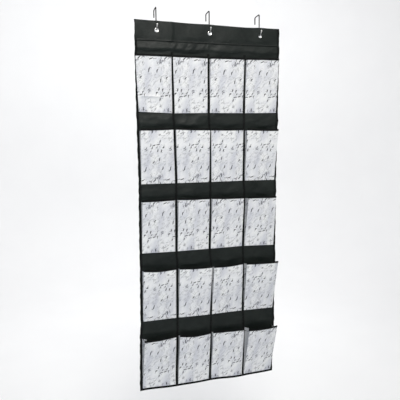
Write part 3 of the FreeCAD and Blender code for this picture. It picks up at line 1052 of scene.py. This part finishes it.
def make_mouth_binding(row, column):
    """The black tape folded over the front's top edge, turned a little round both front corners."""
    drop = MOUTH_BINDING_H / POCKET_H
    # the tape's section: heights from the mouth's as shares of the tape's, and its thickness there in mm
    section = ((-1, 1.5), (-0.93, 1.75), (-0.6, 1.8), (-0.25, 1.8), (0, 1.75), (0.08, 1.3), (0.13, 0.5))
    t = np.array([1 + height * drop for height, _ in section])
    thick = np.array([thickness * MM for _, thickness in section])
    points, places = pocket_surface(row, column, t)
    wanted = (places > 1.55) & (places < 3.45)  # the front and nearly half a fold at each side of it
    middle = hung(*np.moveaxis(points[:, wanted], -1, 0))
    cloth = flat_grid(flat_across(row, column, places[wanted]), t * POCKET_H)[..., ::-1]
    sewn = stitches(front_line(row, column, (1 - drop, 1 - 0.72 * drop, 1.0), 0.03, 0.9 * MM), FORWARD, 1)
    piece = tape_piece(f"mouth_tape_{row}_{column}", part(middle, thick[:, None], cloth), sewn)
    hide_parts(f"mouth_binding_{row}_{column}")
    return open_bend(piece)


# ---- metal ----


def half_ellipse(middle, reach, steps):
    """Points (radius, y) of a half ellipse, from one end of its reach in radius to the other."""
    angles = [pi * k / steps for k in range(steps + 1)]
    return [(middle[0] + reach[0] * cos(angle), middle[1] + reach[1] * sin(angle)) for angle in angles]


def eyelet_ring(name, outline, x):
    """One of an eyelet's turned rings, on the header."""
    vertices, faces, picks, _ = lathe(outline, (x, 0, EYELET_Z))
    piece = finished(name, vertices, faces, [EYELET], picks)
    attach(piece, "header")
    return piece


def make_eyelet(name, x):
    """A rolled eyelet, and the washer behind it."""
    low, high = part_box("eyelets")
    front, back = low.y + 0.2 * MM, high.y
    hole, barrel, washer_hole, rim = 5.0 * MM, 6.0 * MM, 6.2 * MM, 8.0 * MM
    face = half_ellipse(((hole + rim) / 2, front + 0.6 * MM), ((rim - hole) / 2, -1.0 * MM), 12)
    rolled = half_ellipse((barrel, back - 0.2 * MM), (hole - barrel, 0.6 * MM), 6)
    tube = [(barrel, back - 0.8 * MM), (barrel, front + 1.1 * MM)]
    outline = [*face, (hole, back - 0.3 * MM), *rolled, *tube]
    dome = ((washer_hole - rim) / 2, 0.8 * MM)
    ring = half_ellipse(((washer_hole + rim) / 2, back - 1.0 * MM), dome, 8)
    return eyelet_ring(f"{name}_eyelet", outline, x), eyelet_ring(f"{name}_washer", ring, x)


# ---- assembly ----

SIDES = ("left", "middle", "right")
HOOKS = [f"door_hook_{side}" for side in SIDES]
for name in HOOKS:
    hook = frame["nodes"][name]
    hook.data.materials.clear()
    hook.data.materials.append(WIRE)

eyelets = [make_eyelet(name, x) for name, x in zip(SIDES, EYELET_X)]
for eyelet, washer in eyelets:
    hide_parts("eyelets")
    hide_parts("eyelet_washers")

hem = make_hem()
bottom = make_bottom_binding()
for row in range(1, ROWS + 1):
    backing, size = make_backing(row)
    tapes = [make_edge_binding(row, -1, "left"), make_edge_binding(row, 1, "right")]
    tapes += [make_divider(row, number) for number in range(1, COLUMNS)]
    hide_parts(f"seam_tapes_row_{row}")
    if row == 1:
        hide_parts("header_edge_bindings")
    if row == ROWS:
        tapes.append(bottom)
    for column in range(1, COLUMNS + 1):
        pocket = make_pocket(row, column)
        mouth = make_mouth_binding(row, column)


# ---- floor, light and camera ----


def make_studio():
    """A pale floor, as far down as a standard door reaches, that sweeps up into a round wall."""
    floor_z, reach, bend_r, wall_z = -2.032, 5.0, 1.8, 2.2
    steps, segments = 12, 72
    outline = [(0.001, floor_z), (reach - bend_r, floor_z)]
    for k in range(1, steps + 1):
        angle = pi / 2 * k / steps
        outline.append((reach - bend_r + bend_r * sin(angle), floor_z + bend_r - bend_r * cos(angle)))
    outline.append((reach, wall_z))
    vertices, faces = [], []
    for k in range(segments):
        angle = 2 * pi * k / segments
        vertices += [(radius * cos(angle), radius * sin(angle), z) for radius, z in outline]
    n = len(outline)
    for k in range(segments):
        for p in range(n - 1):
            a, b = k * n + p, ((k + 1) % segments) * n + p
            faces.append([a, b, b + 1, a + 1])
    m = Recipe("studio_paint", Roughness=0.9, Specular_IOR_Level=0.1)
    grain = m.noise(m.place(), 3.0, detail=2)
    paint = m.surface(Base_Color=m.mix(grain, (0.83, 0.83, 0.835, 1), (0.86, 0.86, 0.86, 1)))
    studio = finished("studio_floor", vertices, faces, [paint])


def area_light(name, place, target, size, power, colour):
    """A round lamp of that size, turned to shine on its target."""
    data = bpy.data.lights.new(name, "AREA")
    data.shape = "DISK"
    data.size = size
    data.energy = power
    data.color = colour
    lamp = bpy.data.objects.new(name, data)
    lamp.location = place
    lamp.rotation_mode = "QUATERNION"
    lamp.rotation_quaternion = (Vector(target) - Vector(place)).to_track_quat("-Z", "Y")
    bpy.context.scene.collection.objects.link(lamp)


def make_world(colour, strength):
    """An even light from all round, and plain colours."""
    world = bpy.data.worlds.new("world")
    world.use_nodes = True
    background = world.node_tree.nodes["Background"]
    background.inputs["Color"].default_value = colour
    background.inputs["Strength"].default_value = strength
    bpy.context.scene.world = world
    bpy.context.scene.view_settings.view_transform = "Standard"


def make_camera():
    """A camera left of the panel, level with its second row, turned towards it and slightly down."""
    yaw, pitch, roll = radians(15.32), radians(6.248), radians(-0.415)
    data = bpy.data.cameras.new("camera")
    data.sensor_width = 36
    data.lens = 41.63
    data.clip_start, data.clip_end = 0.05, 60
    camera = bpy.data.objects.new("camera", data)
    ahead = Vector((sin(yaw) * cos(pitch), cos(yaw) * cos(pitch), -sin(pitch)))
    right = ahead.cross(Vector((0, 0, 1))).normalized()
    up = right.cross(ahead)
    tilted_right = cos(roll) * right + sin(roll) * up
    tilted_up = cos(roll) * up - sin(roll) * right
    turn = Matrix((tilted_right, tilted_up, -ahead)).transposed()
    camera.rotation_mode = "QUATERNION"
    camera.rotation_quaternion = turn.to_quaternion()
    camera.location = (-0.4935, -1.680, -0.4935)
    bpy.context.scene.collection.objects.link(camera)
    bpy.context.scene.camera = camera


make_studio()
area_light("key", (-0.2, -2.3, 1.45), (0, 0, -0.6), 1.3, 66, (1.0, 0.98, 0.935))
area_light("fill", (-1.7, -2.5, -1.5), (0, 0, -1.15), 2.0, 15, (0.60, 0.79, 1.0))
area_light("glance", (-0.9, -2.4, 1.3), (0, 0, -0.3), 0.7, 10, (1.0, 1.0, 0.96))
area_light("rear", (0.5, 3.0, 1.4), (0, 0, -0.7), 2.0, 34, (1.0, 1.0, 1.0))
area_light("backdrop", (0.3, 1.6, 1.9), (0.6, 4.6, -0.6), 2.4, 95, (1.0, 1.0, 1.0))
make_world((0.93, 0.95, 1.0, 1), 0.28)
make_camera()
